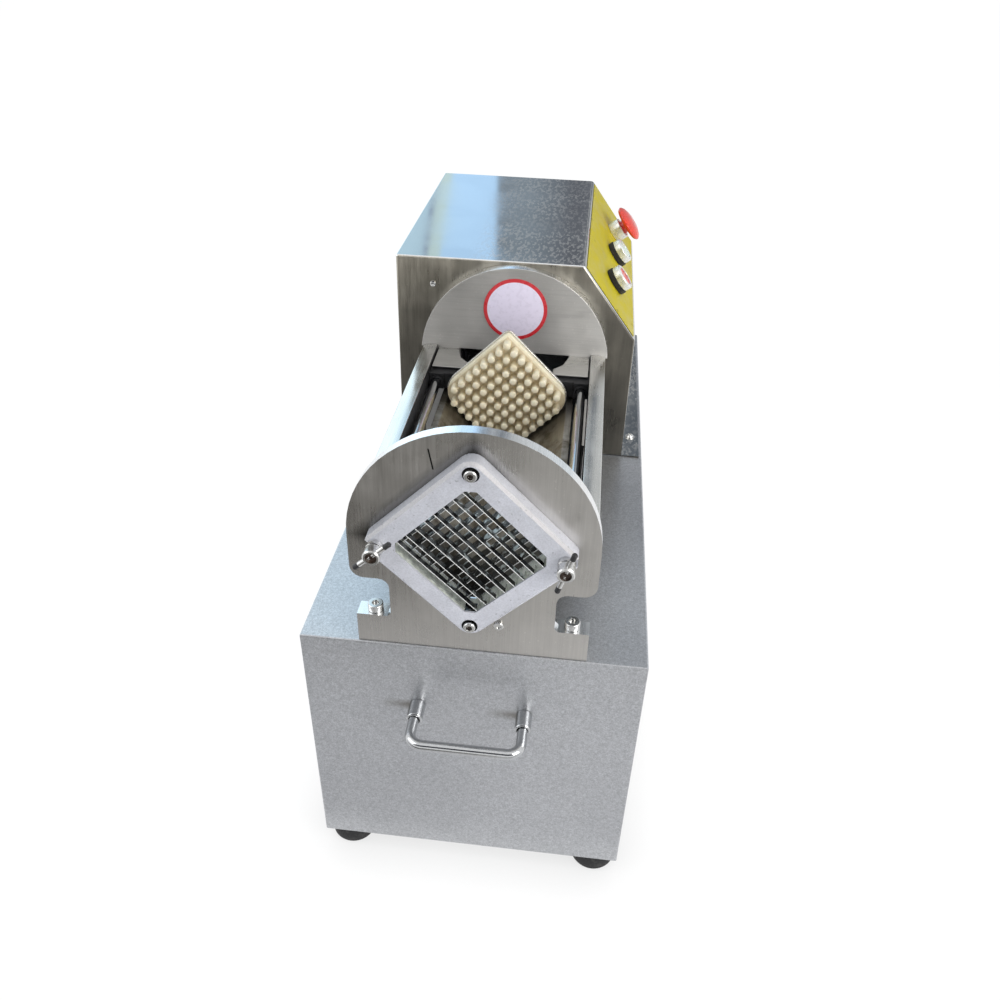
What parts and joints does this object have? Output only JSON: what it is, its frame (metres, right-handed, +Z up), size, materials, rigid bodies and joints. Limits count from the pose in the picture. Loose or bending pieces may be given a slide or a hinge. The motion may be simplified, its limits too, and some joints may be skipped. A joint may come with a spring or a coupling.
{
  "type": "french fry cutter",
  "caption": "Motor-driven benchtop cutter: a rack pushes a pegged block along a V trough and presses a potato through a square blade grid.",
  "frame": {"origin": "middle of the outer box at the floor, where the feet stand", "axes": "+X to the machine's right seen from the front, -Y out of the front, where the cut strips leave, +Z up"},
  "size_m": [0.3, 0.7452, 0.5164],
  "materials": {
    "satin_steel": "satin, fine grain",
    "brushed_steel": "brushed",
    "cast_aluminium": "satin cast",
    "chrome": "polished",
    "blade_steel": "ground",
    "dark_steel": "satin black",
    "rubber": "matt",
    "nylon": "ivory, matt",
    "grey_iron": "grey paint",
    "yellow_label": "plain yellow",
    "red_plastic": "glossy",
    "pale_green_plastic": "glossy",
    "pale_disc": "plain",
    "black_plastic": "matt"
  },
  "bodies": {
    "frame": {"base_cabinet": "satin_steel", "base_bottom_plate": "brushed_steel", "handle_bar": "chrome", "front_plate": "brushed_steel", "blade_holder": "cast_aluminium", "blade_set_front": "blade_steel", "blade_set_rear": "blade_steel", "feed_trough": "brushed_steel", "trough_cradle": "dark_steel", "rear_plate": "brushed_steel", "round_disc": "pale_disc", "housing_shell": "brushed_steel", "housing_back_panel": "brushed_steel", "panel_label": "yellow_label", "estop_collar": "chrome", "estop_contact": "black_plastic", "rack_guide": "brushed_steel", "gearbox": "grey_iron", "motor_body": "grey_iron", "fan_cover": "grey_iron", "contactor_unit": "black_plastic", "cable_gland": "black_plastic", "foot_front_left": "rubber", "foot_rear_left": "rubber", "handle_ferrule_left": "chrome", "front_plate_bolt_left": "brushed_steel", "rail_left": "brushed_steel", "guide_rod_left": "chrome", "rod_guard_left": "brushed_steel", "foot_front_right": "rubber", "foot_rear_right": "rubber", "handle_ferrule_right": "chrome", "front_plate_bolt_right": "brushed_steel", "rail_right": "brushed_steel", "guide_rod_right": "chrome", "rod_guard_right": "brushed_steel", "holder_screw_top": "brushed_steel", "holder_screw_bottom": "brushed_steel", "stop_button_gasket": "rubber", "stop_button_bezel": "chrome", "stop_button_contact": "black_plastic", "start_button_gasket": "rubber", "start_button_bezel": "chrome", "start_button_contact": "black_plastic"},
    "clamp_left": {"clamp_nut_left": "chrome"},
    "clamp_right": {"clamp_nut_right": "chrome"},
    "pusher": {"pusher_block": "nylon", "pusher_plate": "brushed_steel", "carriage": "dark_steel", "carriage_bush_left": "black_plastic", "carriage_bush_right": "black_plastic", "rack_pin": "brushed_steel", "rack": "brushed_steel"},
    "pinion": {"pinion": "dark_steel", "output_shaft": "brushed_steel"},
    "rotor": {"motor_rotor": "brushed_steel"},
    "start_button": {"start_button_cap": "pale_green_plastic"},
    "stop_button": {"stop_button_cap": "red_plastic"},
    "estop_plunger": {"estop_plunger": "red_plastic"},
    "estop_head": {"estop_head": "red_plastic"}
  },
  "joints": [
    {"name": "pinion_turn", "type": "hinge", "parent": "frame", "child": "pinion", "pos_m": [-0.034, 0.0493, 0.392], "axis": [0, 0, -1], "range_deg": [0, 535]},
    {"name": "motor_turn", "type": "hinge", "parent": "frame", "child": "rotor", "pos_m": [-0.064, -0.1227, 0.225], "axis": [0, 1, 0], "range_deg": [0, 10700]},
    {"name": "pusher_slide", "type": "slide", "parent": "frame", "child": "pusher", "axis": [0, -1, 0], "range_m": [0, 0.224]},
    {"name": "clamp_left_turn", "type": "hinge", "parent": "frame", "child": "clamp_left", "pos_m": [-0.074, -0.3347, 0.41], "axis": [0, -1, 0], "range_deg": [0, 450]},
    {"name": "clamp_right_turn", "type": "hinge", "parent": "frame", "child": "clamp_right", "pos_m": [0.074, -0.3347, 0.41], "axis": [0, -1, 0], "range_deg": [0, 450]},
    {"name": "start_press", "type": "slide", "parent": "frame", "child": "start_button", "axis": [-0.7932, 0, -0.6089], "range_m": [0, 0.003], "stiffness_N_per_m": 600, "springref_m": -0.001},
    {"name": "stop_press", "type": "slide", "parent": "frame", "child": "stop_button", "axis": [-0.7932, 0, -0.6089], "range_m": [0, 0.003], "stiffness_N_per_m": 600, "springref_m": -0.001},
    {"name": "estop_press", "type": "slide", "parent": "frame", "child": "estop_plunger", "axis": [-0.7932, 0, -0.6089], "range_m": [0, 0.004], "stiffness_N_per_m": 1200, "springref_m": -0.001},
    {"name": "estop_twist", "type": "hinge", "parent": "estop_plunger", "child": "estop_head", "pos_m": [0.11391, 0.2423, 0.48892], "axis": [0.7932, 0, 0.6089], "range_deg": [0, 45], "stiffness_Nm_per_rad": 0.05}
  ],
  "couplings": [
    {"joint": "pinion_turn", "follows": "pusher_slide", "rad_per_m": 41.667},
    {"joint": "motor_turn", "follows": "pusher_slide", "rad_per_m": 833.33}
  ]
}
